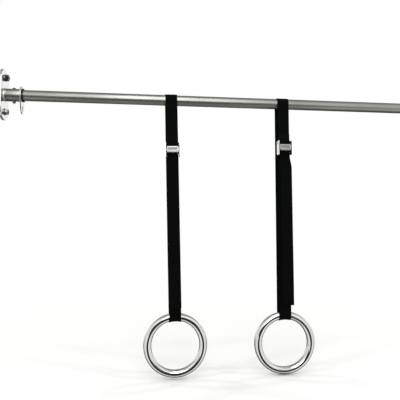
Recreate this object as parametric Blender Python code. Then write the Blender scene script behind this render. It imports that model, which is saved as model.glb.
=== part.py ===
# Gymnastic rings: two steel rings on webbing straps with cam buckles, hung from a bar between two walls.
# Metres, +Z up. The bar runs along +X, and the origin is on its axis, at the left wall plate's back face.
# +Y points away from the buckles.

import math

import bmesh
import bpy
from mathutils import Matrix, Vector

GAP = 0.0003  # clearance between pieces that touch
MERGE = 1e-6  # points closer than this are one

# Bar between the walls
WALL_SPAN = 1.410
BAR_DIAMETER = 0.0337
BAR_WALL = 0.0026

# Wall plate and its fasteners
PLATE_WIDTH = 0.080
PLATE_HEIGHT = 0.157
PLATE_THICKNESS = 0.008
PLATE_CHAMFER = 0.0008
STUD_END_MARGIN = 0.0255
STUD_SPACING = PLATE_HEIGHT - 2 * STUD_END_MARGIN
STUD_DIAMETER = 0.010
STUD_TIP = 0.0020
STUD_POINT = 0.0012
WASHER_DIAMETER = 0.0215
WASHER_THICKNESS = 0.0020
NUT_ACROSS_FLATS = 0.017
NUT_HEIGHT = 0.0084

# Sleeve, collar with its eye, seal and cross bolt
SLEEVE_WALL = 0.0022
SLEEVE_LENGTH = 0.0527
COLLAR_RADIUS = 0.027
COLLAR_THICKNESS = 0.0040
EYE_DROP = 0.042
EYE_LUG_RADIUS = 0.016
EYE_DIAMETER = 0.014
SEAL_WALL = 0.0035
SEAL_THICKNESS = 0.0030
CROSS_BOLT_DIAMETER = 0.006
CROSS_BOLT_SETBACK = 0.026
CROSS_HEAD_DIAMETER = 0.0105
CROSS_HEAD_HEIGHT = 0.0033
CROSS_HEAD_CROWN = 0.0022
CROSS_NUT_ACROSS_FLATS = 0.010
CROSS_NUT_HEIGHT = 0.0050
CROSS_BOLT_TIP = 0.0012

# Webbing
WEB_WIDTH = 0.038
WEB_THICKNESS = 0.0020
BAR_LOOP_BACK = 0.060
TAB_LENGTH = 0.032
FOLD_TAPER = 0.016
LOWER_RUN = 0.064
TAIL_END_LENGTH = 0.030

# Cam buckle
FRAME_HEIGHT = 0.045
FRAME_DEPTH = 0.0225
FRAME_BACK_MARGIN = 0.0035
FRAME_CHAMFER = 0.0004
SHEET_THICKNESS = 0.0022
CHEEK_LIP = 0.0022
SIDE_CLEARANCE = 0.0006
BASE_TOP_DROP = 0.019
ANCHOR_PIN_DIAMETER = 0.006
ANCHOR_PIN_DROP = 0.006
CAM_PIN_DIAMETER = 0.005
RIVET_OVERSIZE = 0.0030
RIVET_HEAD = 0.0012
CAM_RADIUS = 0.0080
CAM_THROW = 0.0026
CAM_THROW_ANGLE = math.radians(50)
CAM_DROP = 0.0255
TOOTH_DEPTH = 0.0007
TOOTH_COUNT = 9
TOOTH_STEP = math.radians(10)
LEVER_TOP_DROP = 0.012
LEVER_THICKNESS = 0.0024
LEVER_RECESS_DROP = 0.0056
LEVER_RECESS_HEIGHT = 0.0047
LEVER_RECESS_DEPTH = 0.0006
SPRING_WIRE = 0.0008
SPRING_TURNS = 5
SPRING_PITCH = 0.0018
POCKET_CLEARANCE = 0.0005

# Ring
RING_MEAN_DIAMETER = 0.176
RING_TUBE_DIAMETER = 0.025
RING_TUBE_WALL = 0.0020
RING_SEAM = 0.0005
RING_LOOP_RISE = 0.026
SPIGOT_CLEARANCE = 0.0006

# The two sets: strap spacing at the bar, how far the pair is off the bar's middle, how far below the bar's
# axis each buckle's top and ring are, how far above the ring the tail ends, and how each strap hangs
RING_SPACING = 0.3675
PAIR_SHIFT = -0.00175
SETS = {
    "left": {
        "buckle_drop": 0.142,
        "ring_reach": 0.690,
        "tail_rise": 0.032,
        "lean": math.radians(1.2),
        "back_shift": 0.0,
        "tail_drift": 0.0,
    },
    "right": {
        "buckle_drop": 0.128,
        "ring_reach": 0.694,
        "tail_rise": 0.036,
        "lean": math.radians(0.25),
        "back_shift": 0.001,
        "tail_drift": 0.006,
    },
}

# Facets
TUBE_SIDES = 30
SMALL_SIDES = 18
BEND_STEPS = 10
FOLD_STEPS = 5
RING_STEPS = 48
RING_SIDES = 16
RING_BORE_STEPS = 24
RING_BORE_SIDES = 10
SPIGOT_STEPS = 2
SPRING_POINTS = 8


def clear_scene():
    for obj in list(bpy.data.objects):
        bpy.data.objects.remove(obj, do_unlink=True)


def make_material(name, colour, roughness, metallic):
    material = bpy.data.materials.new(name)
    material.use_nodes = True
    shader = material.node_tree.nodes["Principled BSDF"]
    shader.inputs["Base Color"].default_value = (*colour, 1.0)
    shader.inputs["Roughness"].default_value = roughness
    shader.inputs["Metallic"].default_value = metallic
    return material


def make_empty(name, location, turn=(0.0, 0.0, 0.0), parent=None):
    empty = bpy.data.objects.new(name, None)
    empty.location = location
    empty.rotation_euler = turn
    empty.parent = parent
    bpy.context.scene.collection.objects.link(empty)
    return empty


def make_object(name, shape, material, parent, location=(0, 0, 0), turn=(0, 0, 0), smooth=True):
    bmesh.ops.remove_doubles(shape, verts=shape.verts, dist=MERGE)
    bmesh.ops.recalc_face_normals(shape, faces=shape.faces)
    mesh = bpy.data.meshes.new(name)
    shape.to_mesh(mesh)
    shape.free()
    if smooth:
        mesh.shade_smooth()
        mesh.set_sharp_from_angle(angle=math.radians(35))
    obj = bpy.data.objects.new(name, mesh)
    obj.location = location
    obj.rotation_euler = turn
    obj.parent = parent
    if material:
        mesh.materials.append(material)
    bpy.context.scene.collection.objects.link(obj)
    return obj


def cut(target, cutter):
    cutter.hide_render = True
    cutter.display_type = "WIRE"
    boolean = target.modifiers.new("Cut " + cutter.name, "BOOLEAN")
    boolean.operation = "DIFFERENCE"
    boolean.solver = "EXACT"
    boolean.object = cutter


def chamfer(obj, width):
    bevel = obj.modifiers.new("Chamfer", "BEVEL")
    bevel.width = width
    bevel.segments = 1
    bevel.limit_method = "ANGLE"
    bevel.angle_limit = math.radians(40)


ALONG_X = (0, math.radians(90), 0)  # turns a shape made along +Z to lie along +X
FACING_X = (math.radians(90), 0, math.radians(90))  # lays an outline in the Y-Z plane, its extrusion along +X


def hexagon(across_flats):
    """Distance from the centre to a hexagon's edge, as a function of angle."""

    def reach(angle):
        return across_flats / 2 / math.cos(angle % math.radians(60) - math.radians(30))

    return reach


def hollow(outer, bore, low, high, sides):
    """A tube, washer or nut along Z. outer is a radius, or a function of angle."""
    shape = bmesh.new()
    loops = []
    for inside, height in ((False, low), (False, high), (True, high), (True, low)):
        loop = []
        for i in range(sides):
            angle = math.tau * i / sides
            radius = bore if inside else outer(angle) if callable(outer) else outer
            loop.append(shape.verts.new((radius * math.cos(angle), radius * math.sin(angle), height)))
        loops.append(loop)
    for first, second in zip(loops, loops[1:] + loops[:1]):
        for i in range(sides):
            j = (i + 1) % sides
            shape.faces.new((first[i], first[j], second[j], second[i]))
    return shape


def spin(shape, geometry, axis, steps, angle):
    closed = angle >= math.tau
    bmesh.ops.spin(
        shape, geom=geometry, axis=axis, cent=(0, 0, 0), steps=steps, angle=angle, use_merge=closed
    )


def turned(profile, sides):
    """A solid turned about Z from (radius, height) points that start and end on the axis."""
    shape = bmesh.new()
    points = [shape.verts.new((radius, 0, height)) for radius, height in profile]
    edges = [shape.edges.new(pair) for pair in zip(points, points[1:])]
    whole = points + edges
    spin(shape, whole, (0, 0, 1), sides, math.tau)
    return shape


def cylinder(radius, low, high, sides):
    return turned([(0, low), (radius, low), (radius, high), (0, high)], sides)


def prism(outline, low, high):
    """An outline in X and Y, extruded from low to high in Z."""
    shape = bmesh.new()
    base = shape.faces.new([shape.verts.new((x, y, low)) for x, y in outline])
    top = bmesh.ops.extrude_face_region(shape, geom=[base])["geom"]
    moved = [item for item in top if isinstance(item, bmesh.types.BMVert)]
    bmesh.ops.translate(shape, verts=moved, vec=(0, 0, high - low))
    return shape


def box(low, high):
    outline = [(low[0], low[1]), (high[0], low[1]), (high[0], high[1]), (low[0], high[1])]
    return prism(outline, low[2], high[2])


def polar(centre, radius, angle):
    return (centre[0] + radius * math.cos(angle), centre[1] + radius * math.sin(angle))


def arc(centre, radius, start, end, steps):
    """Points along an arc in the plane, both ends included."""
    return [polar(centre, radius, start + (end - start) * i / steps) for i in range(steps + 1)]


def wrapped_outline(upper_radius, lower_radius, upper, lower, steps):
    """The outline of a belt round two circles that are one above the other."""
    tilt = math.asin((upper_radius - lower_radius) / (upper - lower))
    over = arc((0, upper), upper_radius, -tilt, math.pi + tilt, steps)
    under = arc((0, lower), lower_radius, math.pi + tilt, math.tau - tilt, steps)
    return over + under


def bent_rod(mean_radius, rod_radius, start, sweep, steps, sides):
    """A round rod bent about Y, from the angle start through sweep. 0 is +X, a quarter turn is +Z."""
    shape = bmesh.new()
    capped = sweep < math.tau
    circle = bmesh.ops.create_circle(shape, cap_ends=capped, radius=rod_radius, segments=sides)
    ring = circle["verts"]
    bmesh.ops.translate(shape, verts=ring, vec=(mean_radius, 0, 0))
    bmesh.ops.rotate(shape, verts=ring, cent=(0, 0, 0), matrix=Matrix.Rotation(-start, 3, "Y"))
    whole = list(shape.verts) + list(shape.edges) + list(shape.faces)
    spin(shape, whole, (0, -1, 0), steps, sweep)
    return shape


def ribbon(path):
    """Webbing along (x, y, z) points, its width along X."""
    shape = bmesh.new()
    rows = []
    for i, (x, y, z) in enumerate(path):
        behind = path[max(i - 1, 0)]
        ahead = path[min(i + 1, len(path) - 1)]
        along = Vector((0, ahead[1] - behind[1], ahead[2] - behind[2])).normalized()
        out = Vector((0, -along.z, along.y)) * WEB_THICKNESS / 2
        row = []
        for side, face in ((-1, -1), (1, -1), (1, 1), (-1, 1)):
            row.append(shape.verts.new(Vector((x + side * WEB_WIDTH / 2, y, z)) + face * out))
        rows.append(row)
    for first, second in zip(rows, rows[1:]):
        for i in range(4):
            j = (i + 1) % 4
            shape.faces.new((first[i], first[j], second[j], second[i]))
    shape.faces.new(rows[0])
    shape.faces.new(rows[-1])
    return shape


def between(first, second, fraction):
    return tuple(a + (b - a) * fraction for a, b in zip(first, second))


# Sizes that follow from the ones above
SLEEVE_BORE = BAR_DIAMETER / 2 + GAP
SLEEVE_RADIUS = SLEEVE_BORE + SLEEVE_WALL
SLEEVE_END = PLATE_THICKNESS + GAP + SLEEVE_LENGTH
STUD_HOLE = STUD_DIAMETER / 2 + GAP
CROSS_HOLE = CROSS_BOLT_DIAMETER / 2 + GAP
CHEEK_INNER = WEB_WIDTH / 2 + SIDE_CLEARANCE
CHEEK_OUTER = CHEEK_INNER + SHEET_THICKNESS
WRAP_RADIUS = SHEET_THICKNESS / 2 + GAP + WEB_THICKNESS / 2
FOLD_RADIUS = ANCHOR_PIN_DIAMETER / 2 + GAP + WEB_THICKNESS / 2
RING_RADIUS = RING_MEAN_DIAMETER / 2
RING_INNER = RING_RADIUS - RING_TUBE_DIAMETER / 2
RING_UNDERSIDE = RING_RADIUS - math.sqrt(RING_INNER**2 - (WEB_WIDTH / 2) ** 2)
RING_LOOP_RADIUS = RING_UNDERSIDE + GAP + WEB_THICKNESS / 2
SPIGOT_ANGLE = SPIGOT_STEPS * math.tau / RING_BORE_STEPS
TOP = math.pi / 2
CAM_SETBACK = WEB_THICKNESS / 2 + GAP + CAM_THROW * math.cos(CAM_THROW_ANGLE) + CAM_RADIUS
SPRING_RADIUS = CAM_PIN_DIAMETER / 2 + POCKET_CLEARANCE + SPRING_WIRE / 2 + GAP / 2
POCKET_RADIUS = SPRING_RADIUS + SPRING_WIRE / 2 + POCKET_CLEARANCE
POCKET_HALF_WIDTH = SPRING_TURNS * SPRING_PITCH / 2 + SPRING_WIRE


def make_bar(steel):
    """The tube between the walls, drilled at both ends for the cross bolts."""
    start = PLATE_THICKNESS + GAP
    shape = hollow(BAR_DIAMETER / 2, BAR_DIAMETER / 2 - BAR_WALL, start, WALL_SPAN - start, TUBE_SIDES)
    bar = make_object("bar_tube", shape, steel, None, turn=ALONG_X)
    bolt_x = SLEEVE_END - CROSS_BOLT_SETBACK
    for name, x in (("left", bolt_x), ("right", WALL_SPAN - bolt_x)):
        drill = cylinder(CROSS_HOLE, -BAR_DIAMETER, BAR_DIAMETER, SMALL_SIDES)
        cut(bar, make_object(name + "_bar_drill", drill, None, None, location=(x, 0, 0)))


def make_wall_fasteners(side, wall, steel):
    """Studs, washers and nuts, upper and lower. The studs are cut flush at the wall."""
    washer_start = PLATE_THICKNESS + GAP
    nut_start = washer_start + WASHER_THICKNESS + GAP
    stud_end = nut_start + NUT_HEIGHT + STUD_TIP
    for level, height in (("upper", STUD_SPACING / 2), ("lower", -STUD_SPACING / 2)):
        place = (0, 0, height)
        thread = STUD_DIAMETER / 2
        profile = [
            (0, GAP),
            (thread, GAP),
            (thread, stud_end - STUD_POINT),
            (thread - STUD_POINT, stud_end),
            (0, stud_end),
        ]
        stud = turned(profile, SMALL_SIDES)
        washer_end = washer_start + WASHER_THICKNESS
        washer = hollow(WASHER_DIAMETER / 2, STUD_HOLE, washer_start, washer_end, SMALL_SIDES)
        nut = hollow(hexagon(NUT_ACROSS_FLATS), STUD_HOLE, nut_start, nut_start + NUT_HEIGHT, SMALL_SIDES)
        make_object(f"{side}_{level}_stud", stud, steel, wall, place, ALONG_X)
        make_object(f"{side}_{level}_washer", washer, steel, wall, place, ALONG_X)
        make_object(f"{side}_{level}_nut", nut, steel, wall, place, ALONG_X)


def make_wall_plate(side, wall, steel):
    round_end = PLATE_HEIGHT / 2 - PLATE_WIDTH / 2
    outline = wrapped_outline(PLATE_WIDTH / 2, PLATE_WIDTH / 2, round_end, -round_end, BEND_STEPS)
    plate = make_object(side + "_wall_plate", prism(outline, 0, PLATE_THICKNESS), steel, wall, turn=FACING_X)
    chamfer(plate, PLATE_CHAMFER)
    for level, height in (("upper", STUD_SPACING / 2), ("lower", -STUD_SPACING / 2)):
        drill = cylinder(STUD_HOLE, -PLATE_THICKNESS, 2 * PLATE_THICKNESS, SMALL_SIDES)
        cut(plate, make_object(f"{side}_{level}_plate_drill", drill, None, wall, (0, 0, height), ALONG_X))


def make_sleeve(side, wall, steel):
    """The welded socket for the bar's end, the collar round its mouth and the seal against it."""
    start = PLATE_THICKNESS + GAP
    shape = hollow(SLEEVE_RADIUS, SLEEVE_BORE, start, SLEEVE_END, TUBE_SIDES)
    sleeve = make_object(side + "_sleeve", shape, steel, wall, turn=ALONG_X)
    bolt_x = SLEEVE_END - CROSS_BOLT_SETBACK
    drill = cylinder(CROSS_HOLE, -2 * SLEEVE_RADIUS, 2 * SLEEVE_RADIUS, SMALL_SIDES)
    cut(sleeve, make_object(side + "_sleeve_drill", drill, None, wall, (bolt_x, 0, 0)))

    outline = wrapped_outline(COLLAR_RADIUS, EYE_LUG_RADIUS, 0, -EYE_DROP, BEND_STEPS)
    shape = prism(outline, SLEEVE_END - COLLAR_THICKNESS, SLEEVE_END)
    collar = make_object(side + "_eye_collar", shape, steel, wall, turn=FACING_X)
    bore = cylinder(SLEEVE_RADIUS + GAP, 0, 2 * SLEEVE_END, TUBE_SIDES)
    cut(collar, make_object(side + "_collar_bore", bore, None, wall, turn=ALONG_X))
    eye = cylinder(EYE_DIAMETER / 2, 0, 2 * SLEEVE_END, SMALL_SIDES)
    cut(collar, make_object(side + "_eye_drill", eye, None, wall, (0, 0, -EYE_DROP), ALONG_X))


def make_seal(side, wall, rubber):
    start = SLEEVE_END + GAP
    shape = hollow(SLEEVE_BORE + SEAL_WALL, SLEEVE_BORE, start, start + SEAL_THICKNESS, TUBE_SIDES)
    make_object(side + "_mouth_seal", shape, rubber, wall, turn=ALONG_X)


def make_cross_bolt(side, wall, steel):
    """Vertical bolt through sleeve and bar, its nut below."""
    place = (SLEEVE_END - CROSS_BOLT_SETBACK, 0, 0)
    seat = SLEEVE_RADIUS + GAP
    shank = CROSS_BOLT_DIAMETER / 2
    head = CROSS_HEAD_DIAMETER / 2
    bolt_end = -seat - CROSS_NUT_HEIGHT - CROSS_BOLT_TIP
    profile = [
        (0, bolt_end),
        (shank, bolt_end),
        (shank, seat),
        (head, seat),
        (head, seat + CROSS_HEAD_HEIGHT - CROSS_HEAD_CROWN),
        (head - CROSS_HEAD_CROWN / 2, seat + CROSS_HEAD_HEIGHT - CROSS_HEAD_CROWN / 3),
        (head - CROSS_HEAD_CROWN, seat + CROSS_HEAD_HEIGHT),
        (0, seat + CROSS_HEAD_HEIGHT),
    ]
    make_object(side + "_cross_bolt", turned(profile, SMALL_SIDES), steel, wall, place)
    nut = hollow(hexagon(CROSS_NUT_ACROSS_FLATS), CROSS_HOLE, -seat - CROSS_NUT_HEIGHT, -seat, SMALL_SIDES)
    make_object(side + "_cross_nut", nut, steel, wall, place)


def make_bracket(side, materials):
    if side == "left":
        wall = make_empty("left_wall", (0, 0, 0))
    else:
        wall = make_empty("right_wall", (WALL_SPAN, 0, 0), turn=(0, 0, math.pi))
    make_wall_plate(side, wall, materials["polished"])
    make_wall_fasteners(side, wall, materials["polished"])
    make_sleeve(side, wall, materials["polished"])
    make_seal(side, wall, materials["rubber"])
    make_cross_bolt(side, wall, materials["polished"])


def set_levels(hang):
    """Heights and depths of one strap set, from an origin on the bar's axis, the strap hanging down -Z."""
    drop = hang["buckle_drop"]
    loop_clearance = GAP + WEB_WIDTH / 2 * math.sin(abs(hang["lean"]))
    loop_radius = BAR_DIAMETER / 2 + loop_clearance + WEB_THICKNESS / 2
    front = -loop_radius
    tail = front - 2 * WRAP_RADIUS
    pivot_y = tail - CAM_SETBACK
    cam_z = -drop - CAM_DROP
    return {
        "loop_radius": loop_radius,
        "front": front,
        "tail": tail,
        "frame_top": -drop,
        "frame_bottom": -drop - FRAME_HEIGHT,
        "base_y": front - WRAP_RADIUS,
        "base_top": -drop - BASE_TOP_DROP,
        "pin_y": front - FOLD_RADIUS,
        "pin_z": -drop - ANCHOR_PIN_DROP,
        "cam_y": pivot_y + CAM_THROW * math.cos(CAM_THROW_ANGLE),
        "cam_z": cam_z,
        "pivot_y": pivot_y,
        "pivot_z": cam_z + CAM_THROW * math.sin(CAM_THROW_ANGLE),
        "web_exit": -drop - FRAME_HEIGHT - 2 * WEB_THICKNESS,
        "ring_axis": -hang["ring_reach"],
        "loop_top": -hang["ring_reach"] + RING_LOOP_RISE,
        "lower_top": -hang["ring_reach"] + RING_LOOP_RISE + LOWER_RUN,
        "tail_end_top": -hang["ring_reach"] + hang["tail_rise"] + TAIL_END_LENGTH,
        "tail_end": -hang["ring_reach"] + hang["tail_rise"],
    }


def upper_path(hang, at):
    """From the sewn tab's edge down round the anchor pin, up, over the bar and down the back."""
    tab_y = at["front"] - WEB_THICKNESS - GAP
    fold_y = at["front"] - 2 * FOLD_RADIUS
    path = [(0, tab_y, at["pin_z"] + TAB_LENGTH)]
    for i in range(FOLD_STEPS + 1):
        part = i / FOLD_STEPS
        ease = part * part * (3 - 2 * part)
        path.append((0, tab_y + (fold_y - tab_y) * ease, at["pin_z"] + FOLD_TAPER * (1 - part)))
    round_pin = arc((at["pin_y"], at["pin_z"]), FOLD_RADIUS, math.pi, math.tau, BEND_STEPS)
    path += [(0, y, z) for y, z in round_pin[1:]]
    over_bar = arc((0, 0), at["loop_radius"], math.pi, 0, 2 * BEND_STEPS)
    for i, (y, z) in enumerate(over_bar):
        path.append((hang["back_shift"] * i / (2 * BEND_STEPS), y, z))
    path.append((hang["back_shift"], at["loop_radius"], -BAR_LOOP_BACK))
    return path


def make_strap(side, hang, at, holder, webbing):
    """The webbing of one set, in the stretches that stay whole when the strap moves or shortens."""
    back_start = (hang["back_shift"], at["loop_radius"], -BAR_LOOP_BACK)
    back_end = (0, RING_LOOP_RADIUS, at["loop_top"])
    front_start = (0, at["front"], at["web_exit"])
    front_end = (0, -RING_LOOP_RADIUS, at["loop_top"])

    def stretch(name, start, end, top, bottom):
        """The part of the straight run from start to end that lies between two heights."""
        points = []
        for z in (top, bottom):
            points.append(between(start, end, (z - start[2]) / (end[2] - start[2])))
        make_object(f"{side}_{name}", ribbon(points), webbing, holder, smooth=False)

    make_object(side + "_strap_upper", ribbon(upper_path(hang, at)), webbing, holder)
    stretch("strap_back_run", back_start, back_end, -BAR_LOOP_BACK - GAP, at["lower_top"] + GAP)
    stretch("strap_back_lower", back_start, back_end, at["lower_top"], at["loop_top"] + GAP)
    stretch("strap_front_run", front_start, front_end, at["web_exit"] - GAP, at["lower_top"] + GAP)
    stretch("strap_front_lower", front_start, front_end, at["lower_top"], at["loop_top"] + GAP)

    under_ring = arc((0, at["ring_axis"]), RING_LOOP_RADIUS, math.pi, math.tau, 2 * BEND_STEPS)
    path = [front_end] + [(0, y, z) for y, z in under_ring] + [back_end]
    make_object(side + "_strap_ring_loop", ribbon(path), webbing, holder)

    round_base = arc((at["base_y"], at["base_top"]), WRAP_RADIUS, 0, math.pi, BEND_STEPS)
    path = [front_start] + [(0, y, z) for y, z in round_base] + [(0, at["tail"], at["web_exit"])]
    make_object(side + "_strap_cam_wrap", ribbon(path), webbing, holder)

    tail_start = (0, at["tail"], at["web_exit"])
    tail_end = (hang["tail_drift"], at["tail"], at["tail_end"])
    stretch("strap_tail", tail_start, tail_end, at["web_exit"] - GAP, at["tail_end_top"] + GAP)
    stretch("strap_tail_end", tail_start, tail_end, at["tail_end_top"], at["tail_end"])


def make_buckle_frame(side, at, holder, steel):
    """A folded channel: base plate between two cheeks, each with a lip turned outwards at the front."""
    inner, outer = CHEEK_INNER, CHEEK_OUTER
    lip = outer + CHEEK_LIP
    back = at["front"] + FRAME_BACK_MARGIN
    front = at["front"] - FRAME_DEPTH
    lip_back = front + SHEET_THICKNESS
    base_back = at["base_y"] + SHEET_THICKNESS / 2
    base_front = at["base_y"] - SHEET_THICKNESS / 2
    half = [
        (inner, back),
        (outer, back),
        (outer, lip_back),
        (lip, lip_back),
        (lip, front),
        (inner, front),
        (inner, base_front),
    ]
    other = [(-x, y) for x, y in reversed(half)]
    outline = half + other + [(-inner, base_back), (inner, base_back)]
    shape = prism(outline, at["frame_bottom"], at["frame_top"])
    frame = make_object(side + "_buckle_frame", shape, steel, holder, smooth=False)
    chamfer(frame, FRAME_CHAMFER)
    notch = SIDE_CLEARANCE
    window = box(
        (-inner - notch, base_front - notch, at["base_top"]),
        (inner + notch, base_back + notch, at["frame_top"] + FRAME_HEIGHT),
    )
    cut(frame, make_object(side + "_base_window", window, None, holder, smooth=False))
    for name, radius, y, z in (
        ("anchor", ANCHOR_PIN_DIAMETER / 2, at["pin_y"], at["pin_z"]),
        ("cam", CAM_PIN_DIAMETER / 2, at["pivot_y"], at["pivot_z"]),
    ):
        drill = cylinder(radius + GAP, -2 * lip, 2 * lip, SMALL_SIDES)
        cut(frame, make_object(f"{side}_{name}_pin_drill", drill, None, holder, (0, y, z), ALONG_X))


def rivet_profile(radius):
    """A pin through both cheeks, with a head spread over each."""
    seat = CHEEK_OUTER + GAP
    head = radius + RIVET_OVERSIZE / 2
    end = seat + RIVET_HEAD
    half = [(radius, seat), (head, seat), (head, end), (0, end)]
    return [(r, -x) for r, x in reversed(half)] + half


def make_pins(side, at, holder, steel):
    anchor = turned(rivet_profile(ANCHOR_PIN_DIAMETER / 2), SMALL_SIDES)
    make_object(side + "_anchor_pin", anchor, steel, holder, (0, at["pin_y"], at["pin_z"]), ALONG_X)
    pivot = turned(rivet_profile(CAM_PIN_DIAMETER / 2), SMALL_SIDES)
    make_object(side + "_cam_pin", pivot, steel, holder, (0, at["pivot_y"], at["pivot_z"]), ALONG_X)


def cam_outline(at):
    """The cam and its thumb plate from the side, as (y, z) about the pivot."""
    centre = (at["cam_y"] - at["pivot_y"], at["cam_z"] - at["pivot_z"])
    front = centre[0] - CAM_RADIUS
    plate_back = front + LEVER_THICKNESS
    top = at["frame_top"] - LEVER_TOP_DROP - at["pivot_z"]
    meet = math.tau + math.acos((plate_back - centre[0]) / CAM_RADIUS)
    teeth_start = math.tau - TOOTH_STEP * TOOTH_COUNT / 2
    outline = arc(centre, CAM_RADIUS, math.pi, teeth_start, BEND_STEPS)
    for i in range(TOOTH_COUNT):
        valley = teeth_start + TOOTH_STEP * (i + 0.5)
        tip = teeth_start + TOOTH_STEP * (i + 1)
        outline.append(polar(centre, CAM_RADIUS - TOOTH_DEPTH, valley))
        outline.append(polar(centre, CAM_RADIUS, tip))
    outline += arc(centre, CAM_RADIUS, teeth_start + TOOTH_STEP * TOOTH_COUNT, meet, BEND_STEPS // 2)[1:]
    edge = LEVER_THICKNESS / 2
    outline += arc((front + edge, top - edge), edge, 0, math.pi, FOLD_STEPS)
    recess_top = top - LEVER_RECESS_DROP
    recess_bottom = recess_top - LEVER_RECESS_HEIGHT
    slope = LEVER_RECESS_DEPTH
    outline += [
        (front, recess_top),
        (front + LEVER_RECESS_DEPTH, recess_top - slope),
        (front + LEVER_RECESS_DEPTH, recess_bottom + slope),
        (front, recess_bottom),
    ]
    return outline


def make_cam(side, at, holder, steel, spring_steel):
    """The cam lever on its pin, and the torsion coil in the cam's pocket."""
    pivot = make_empty(side + "_cam_pivot", (0, at["pivot_y"], at["pivot_z"]), parent=holder)
    half_width = CHEEK_INNER - SIDE_CLEARANCE
    shape = prism(cam_outline(at), -half_width, half_width)
    lever = make_object(side + "_cam_lever", shape, steel, pivot, turn=FACING_X)
    bore = CAM_PIN_DIAMETER / 2 + GAP
    profile = [
        (0, -2 * half_width),
        (bore, -2 * half_width),
        (bore, -POCKET_HALF_WIDTH),
        (POCKET_RADIUS, -POCKET_HALF_WIDTH),
        (POCKET_RADIUS, POCKET_HALF_WIDTH),
        (bore, POCKET_HALF_WIDTH),
        (bore, 2 * half_width),
        (0, 2 * half_width),
    ]
    cut(lever, make_object(side + "_cam_bore", turned(profile, SMALL_SIDES), None, pivot, turn=ALONG_X))
    make_spring(side, pivot, spring_steel)


def make_spring(side, pivot, steel):
    curve = bpy.data.curves.new(side + "_cam_spring", "CURVE")
    curve.dimensions = "3D"
    curve.bevel_depth = SPRING_WIRE / 2
    curve.bevel_resolution = 1
    curve.use_fill_caps = True
    line = curve.splines.new("POLY")
    count = SPRING_TURNS * SPRING_POINTS + 1
    line.points.add(count - 1)
    for i in range(count):
        turn = math.tau * i / SPRING_POINTS
        x = SPRING_PITCH * (i / SPRING_POINTS - SPRING_TURNS / 2)
        line.points[i].co = (x, SPRING_RADIUS * math.cos(turn), SPRING_RADIUS * math.sin(turn), 1)
    curve.materials.append(steel)
    spring = bpy.data.objects.new(side + "_cam_spring", curve)
    spring.parent = pivot
    bpy.context.scene.collection.objects.link(spring)


def make_ring(side, at, holder, steel):
    """A bent tube with a butt seam at the top, and the plug inside that bridges the seam."""
    hub = make_empty(side + "_ring_hub", (0, 0, at["ring_axis"]), parent=holder)
    centre = (0, 0, -RING_RADIUS)
    tube_radius = RING_TUBE_DIAMETER / 2
    bore_radius = tube_radius - RING_TUBE_WALL
    shape = bent_rod(RING_RADIUS, tube_radius, TOP, math.tau, RING_STEPS, RING_SIDES)
    ring = make_object(side + "_ring", shape, steel, hub, centre)
    hollow_core = bent_rod(RING_RADIUS, bore_radius, TOP, math.tau, RING_BORE_STEPS, RING_BORE_SIDES)
    cut(ring, make_object(side + "_ring_bore", hollow_core, None, hub, centre))
    reach = 2 * tube_radius
    slit = box((-RING_SEAM / 2, -reach, -reach), (RING_SEAM / 2, reach, reach))
    cut(ring, make_object(side + "_ring_slit", slit, None, hub, smooth=False))
    plug_radius = bore_radius - SPIGOT_CLEARANCE
    plug_start = TOP - SPIGOT_ANGLE / 2
    plug = bent_rod(RING_RADIUS, plug_radius, plug_start, SPIGOT_ANGLE, SPIGOT_STEPS, RING_BORE_SIDES)
    make_object(side + "_ring_spigot", plug, steel, hub, centre)


def make_set(side, hang, materials):
    """One strap with its buckle and ring, hung from the bar."""
    x = WALL_SPAN / 2 + PAIR_SHIFT + RING_SPACING / 2 * (1 if side == "right" else -1)
    holder = make_empty(side + "_hang", (x, 0, 0), turn=(0, -hang["lean"], 0))
    at = set_levels(hang)
    make_strap(side, hang, at, holder, materials["webbing"])
    make_buckle_frame(side, at, holder, materials["polished"])
    make_pins(side, at, holder, materials["polished"])
    make_cam(side, at, holder, materials["polished"], materials["spring"])
    make_ring(side, at, holder, materials["mirror"])


def main():
    clear_scene()
    materials = {
        "satin": make_material("satin_steel", (0.56, 0.56, 0.55), 0.30, 1.0),
        "polished": make_material("polished_steel", (0.68, 0.68, 0.68), 0.15, 1.0),
        "mirror": make_material("mirror_steel", (0.78, 0.78, 0.78), 0.05, 1.0),
        "webbing": make_material("black_webbing", (0.006, 0.006, 0.006), 0.85, 0.0),
        "rubber": make_material("black_rubber", (0.010, 0.010, 0.010), 0.60, 0.0),
        "spring": make_material("spring_steel", (0.30, 0.30, 0.31), 0.35, 1.0),
    }
    make_bar(materials["satin"])
    for side, hang in SETS.items():
        make_bracket(side, materials)
        make_set(side, hang, materials)


main()
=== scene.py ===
# Gymnastic rings: two steel rings on webbing straps with cam buckles, hung from a bar between two walls.
# Metres, +Z up. The bar runs along +X from the left wall, and the buckles face -Y.

from math import acos, asin, copysign, cos, pi, radians, sin, sqrt, tan, tau

import bmesh
import bpy
from mathutils import Matrix, Vector


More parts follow.
